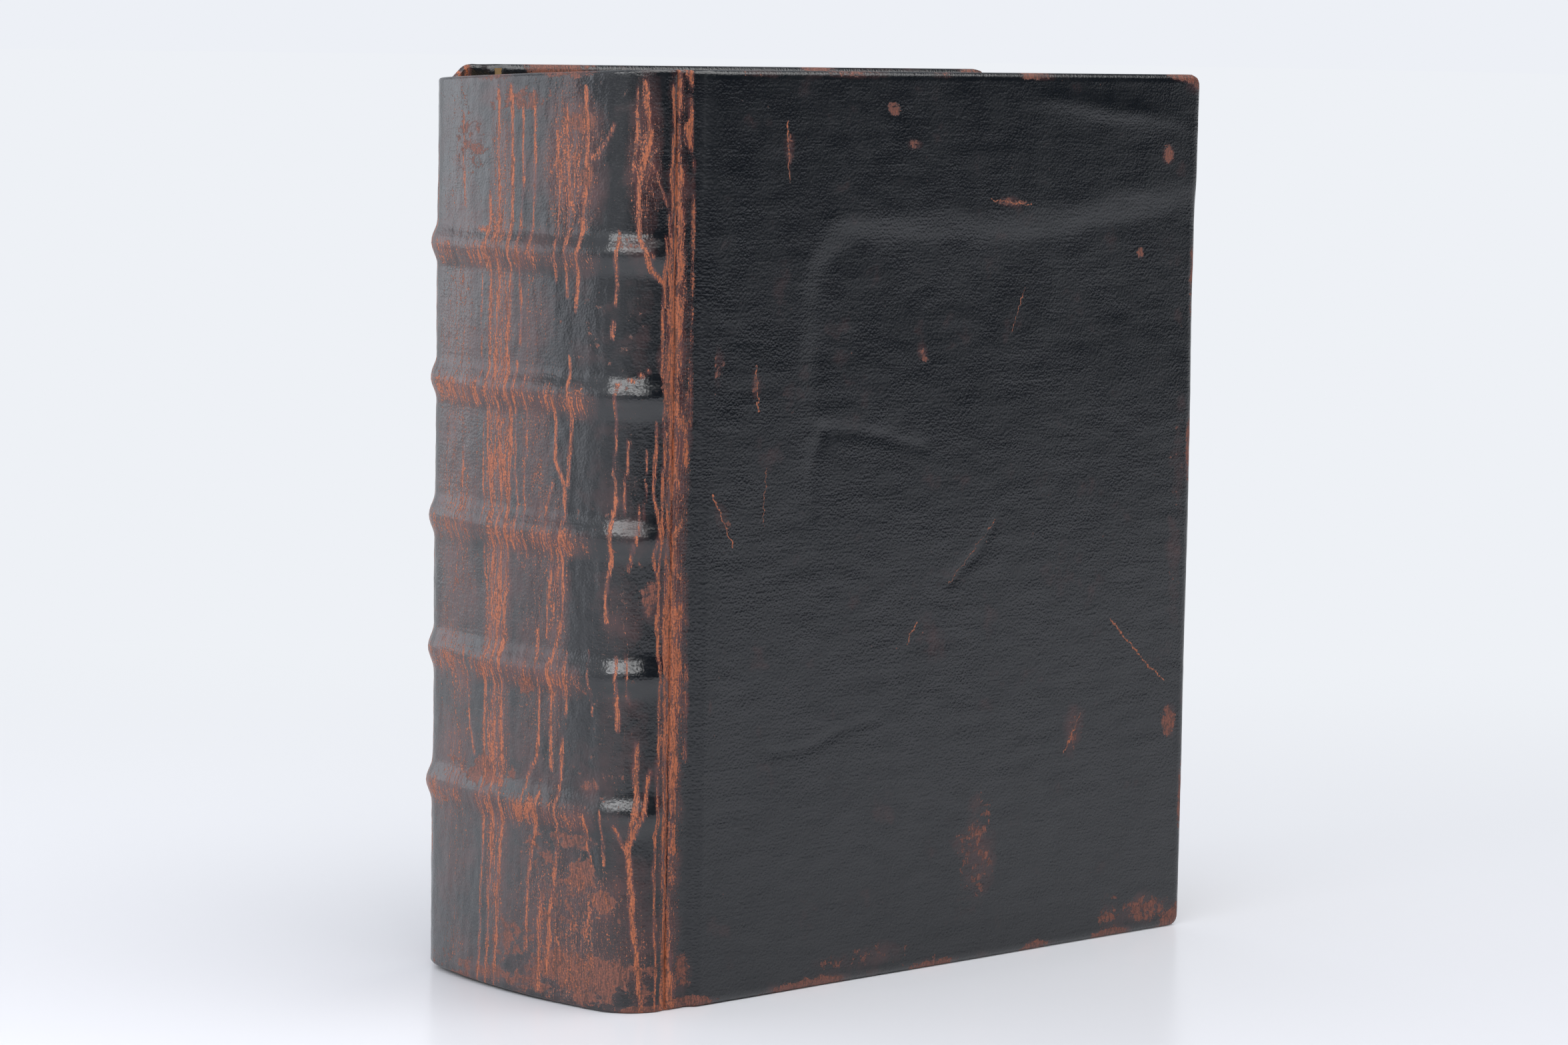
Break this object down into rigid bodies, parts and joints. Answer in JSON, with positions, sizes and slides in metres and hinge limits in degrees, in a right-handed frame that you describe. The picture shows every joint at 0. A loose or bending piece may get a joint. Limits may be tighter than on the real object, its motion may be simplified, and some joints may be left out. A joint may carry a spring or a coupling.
{
  "type": "antique leather book",
  "caption": "Thick old book in worn black full leather with raised bands, standing upright; both covers open on their joints.",
  "frame": {"origin": "under the middle of the closed book, on the surface that its tail edges stand on", "axes": "+Z from tail to head, +X from spine to fore edge, +Y from front cover to back cover"},
  "size_m": [0.2194, 0.094, 0.25],
  "materials": {
    "leather": "worn black goatskin, satin, rubbed through to rust brown",
    "pasteboard": "matt pasteboard",
    "cord": "hemp cord",
    "endband": "thread sewn over a core",
    "lining": "matt waste paper",
    "endpaper": "aged laid paper",
    "pages": "aged page edges"
  },
  "bodies": {
    "block": {"text_block": "pages", "spine_leather": "leather", "sewing_cord_1": "cord", "sewing_cord_2": "cord", "sewing_cord_3": "cord", "sewing_cord_4": "cord", "sewing_cord_5": "cord", "spine_lining_1": "lining", "spine_lining_2": "lining", "spine_lining_3": "lining", "spine_lining_4": "lining", "spine_lining_5": "lining", "spine_lining_6": "lining", "head_endband": "endband", "tail_endband": "endband", "front_flyleaf": "endpaper", "back_flyleaf": "endpaper"},
    "front_cover": {"front_board": "pasteboard", "front_leather": "leather", "front_pastedown": "endpaper", "front_slip_1": "cord", "front_slip_2": "cord", "front_slip_3": "cord", "front_slip_4": "cord", "front_slip_5": "cord"},
    "back_cover": {"back_board": "pasteboard", "back_leather": "leather", "back_pastedown": "endpaper", "back_slip_1": "cord", "back_slip_2": "cord", "back_slip_3": "cord", "back_slip_4": "cord", "back_slip_5": "cord"}
  },
  "joints": [
    {"name": "front_cover_hinge", "type": "hinge", "parent": "block", "child": "front_cover", "pos_m": [-0.0893, -0.0456, 0.125], "axis": [0, 0, -1], "range_deg": [0, 180]},
    {"name": "back_cover_hinge", "type": "hinge", "parent": "block", "child": "back_cover", "pos_m": [-0.0893, 0.0456, 0.125], "axis": [0, 0, 1], "range_deg": [0, 180]}
  ]
}
